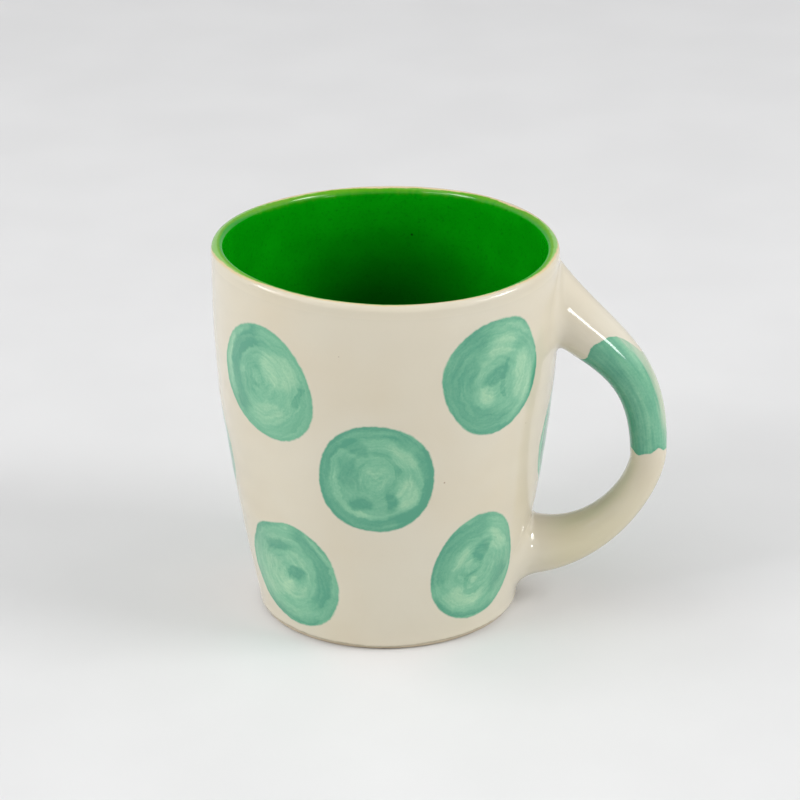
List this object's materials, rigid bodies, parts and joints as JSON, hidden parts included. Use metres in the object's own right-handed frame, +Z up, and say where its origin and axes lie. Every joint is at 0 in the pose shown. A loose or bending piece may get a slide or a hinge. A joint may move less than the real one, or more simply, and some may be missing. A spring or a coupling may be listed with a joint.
{
  "type": "stoneware mug",
  "caption": "Handmade stoneware mug: a tapered round cup on a bare foot ring with a pulled loop handle, green glaze inside, cream outside, brushed teal dots and a teal handle band.",
  "frame": {"origin": "centre of the foot ring, on the surface that the mug stands on", "axes": "+Z up through the rim, +X towards the handle, +Y to the left when the handle points ahead"},
  "size_m": [0.1186, 0.0904, 0.1],
  "materials": {
    "fired_clay": "bare fired stoneware, matt, fine grain",
    "fired_slip": "fired joining slip, matt",
    "green_glaze": "glossy saturated green glaze, breaking paler at the lip",
    "cream_glaze": "glossy clear glaze over a cream body",
    "teal_brushwork": "brushed teal underglaze, uneven, under glossy clear glaze"
  },
  "bodies": {
    "root": {"clay_cup": "fired_clay", "clay_handle": "fired_clay", "upper_slip_joint": "fired_slip", "lower_slip_joint": "fired_slip", "interior_glaze": "green_glaze", "exterior_glaze": "cream_glaze", "handle_glaze": "cream_glaze", "handle_brush_band": "teal_brushwork", "dot_upper_front_left": "teal_brushwork", "dot_upper_front_right": "teal_brushwork", "dot_upper_back_right": "teal_brushwork", "dot_upper_back_left": "teal_brushwork", "dot_middle_front": "teal_brushwork", "dot_middle_right": "teal_brushwork", "dot_middle_back": "teal_brushwork", "dot_middle_left": "teal_brushwork", "dot_lower_front_left": "teal_brushwork", "dot_lower_front_right": "teal_brushwork", "dot_lower_back_right": "teal_brushwork", "dot_lower_back_left": "teal_brushwork"}
  },
  "joints": []
}
